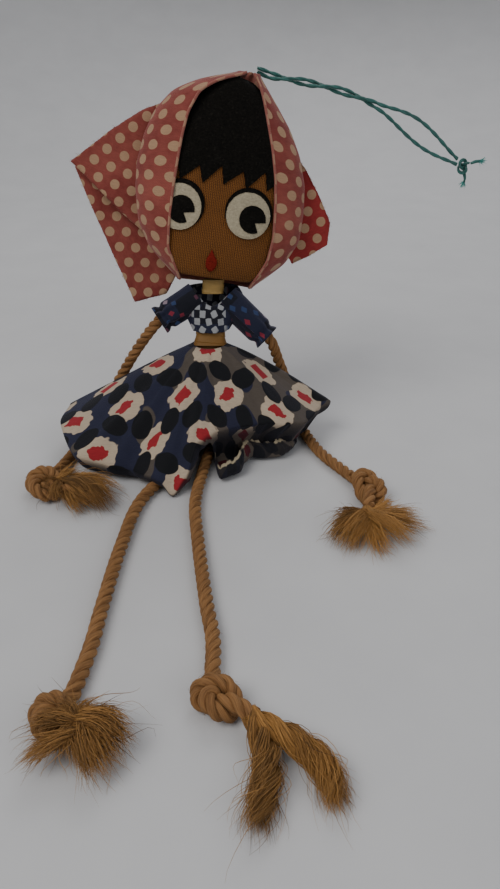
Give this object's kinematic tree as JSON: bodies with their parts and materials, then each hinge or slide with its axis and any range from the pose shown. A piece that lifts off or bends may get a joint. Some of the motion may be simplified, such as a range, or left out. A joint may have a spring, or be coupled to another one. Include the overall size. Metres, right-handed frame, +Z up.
{
  "type": "rope-limbed cloth doll",
  "caption": "Seated cloth doll with jointed rope arms and legs, knotted frayed ends, felt face, headscarf, print blouse and flared skirt, and a cord loop to hang it by.",
  "frame": {"origin": "centre of the seat, on the surface the doll sits on, directly under its waist", "axes": "+Z up, -Y the way the doll faces and its legs point, +X to its left hand, which is the viewer's right"},
  "size_m": [0.2403, 0.2903, 0.1839],
  "materials": {
    "rope": "laid plant-fibre rope, golden brown",
    "frayed_fibre": "loose combed rope fibre",
    "golden_tape": "smooth golden binding tape",
    "blouse_print": "navy printed cotton",
    "skirt_print": "slate blue printed cotton",
    "scarf_dots": "dusty red cotton with cream dots",
    "knit_stocking": "fine golden-brown knit",
    "black_felt": "cut wool felt",
    "white_felt": "cut wool felt",
    "red_felt": "cut wool felt",
    "card_board": "plain grey card",
    "wadding": "cotton wadding",
    "green_cord": "waxed green cord",
    "dark_thread": "sewing thread"
  },
  "bodies": {
    "torso": {"torso_rope_left": "rope", "torso_rope_right": "rope", "torso_tape": "golden_tape", "shoulder_rope": "rope", "blouse_bodice": "blouse_print", "blouse_sleeve_left": "blouse_print", "blouse_sleeve_right": "blouse_print", "sleeve_thread_left": "dark_thread", "sleeve_thread_right": "dark_thread", "skirt": "skirt_print", "waist_binding": "golden_tape"},
    "neck": {"neck_rope": "rope", "neck_tape": "golden_tape"},
    "head": {"head_board": "card_board", "head_padding": "wadding", "face_stocking": "knit_stocking", "hair_felt": "black_felt", "eye_white_left": "white_felt", "eye_white_right": "white_felt", "eye_lid_left": "black_felt", "eye_lid_right": "black_felt", "pupil_left": "black_felt", "pupil_right": "black_felt", "mouth_felt": "red_felt", "headscarf": "scarf_dots"},
    "loop": {"hanging_cord_a": "green_cord", "hanging_cord_b": "green_cord", "hanging_knot": "green_cord", "cord_tail_a": "green_cord", "cord_tail_b": "green_cord"},
    "upper_arm_left": {"upper_arm_rope_left": "rope"},
    "forearm_left": {"forearm_rope_left": "rope", "hand_knot_left": "rope", "hand_tassel_left": "frayed_fibre"},
    "upper_arm_right": {"upper_arm_rope_right": "rope"},
    "forearm_right": {"forearm_rope_right": "rope", "hand_knot_right": "rope", "hand_tassel_right": "frayed_fibre"},
    "thigh_left": {"thigh_rope_left": "rope"},
    "shin_left": {"shin_rope_left": "rope", "foot_knot_left": "rope", "foot_tassel_left": "frayed_fibre"},
    "thigh_right": {"thigh_rope_right": "rope"},
    "shin_right": {"shin_rope_right": "rope", "foot_knot_right": "rope", "foot_tassel_right_a": "frayed_fibre", "foot_tassel_right_b": "frayed_fibre"}
  },
  "joints": [
    {"name": "neck_turn", "type": "hinge", "parent": "torso", "child": "neck", "pos_m": [0.0019, 0.0097, 0.0796], "axis": [0.0917, 0.1988, 0.9757], "range_deg": [-12, 12]},
    {"name": "neck_nod", "type": "hinge", "parent": "neck", "child": "head", "pos_m": [0.0025, 0.011, 0.086], "axis": [1, 0, 0], "range_deg": [-8, 8]},
    {"name": "loop_swing", "type": "hinge", "parent": "head", "child": "loop", "pos_m": [0.031, 0.0425, 0.182], "axis": [0, -1, 0], "range_deg": [-4, 110]},
    {"name": "shoulder_left", "type": "hinge", "parent": "torso", "child": "upper_arm_left", "pos_m": [-0.027, 0.003, 0.066], "axis": [0, 1, 0], "range_deg": [-1, 80]},
    {"name": "elbow_left", "type": "hinge", "parent": "upper_arm_left", "child": "forearm_left", "pos_m": [-0.07, 0.013, 0.003], "axis": [0, 0, -1], "range_deg": [-3, 90]},
    {"name": "shoulder_right", "type": "hinge", "parent": "torso", "child": "upper_arm_right", "pos_m": [0.033, 0.0025, 0.055], "axis": [0, -1, 0], "range_deg": [-1, 80]},
    {"name": "elbow_right", "type": "hinge", "parent": "upper_arm_right", "child": "forearm_right", "pos_m": [0.05, 0.013, 0.003], "axis": [0, 0, 1], "range_deg": [-3, 90]},
    {"name": "hip_left", "type": "hinge", "parent": "torso", "child": "thigh_left", "pos_m": [-0.00325, -0.0074, 0.003], "axis": [1, 0, 0], "range_deg": [-1, 95]},
    {"name": "knee_left", "type": "hinge", "parent": "thigh_left", "child": "shin_left", "pos_m": [-0.0315, -0.078, 0.003], "axis": [1, 0, 0], "range_deg": [-70, 90]},
    {"name": "hip_right", "type": "hinge", "parent": "torso", "child": "thigh_right", "pos_m": [0.00325, -0.0074, 0.003], "axis": [1, 0, 0], "range_deg": [-1, 95]},
    {"name": "knee_right", "type": "hinge", "parent": "thigh_right", "child": "shin_right", "pos_m": [-0.0045, -0.078, 0.003], "axis": [1, 0, 0], "range_deg": [-70, 90]}
  ]
}
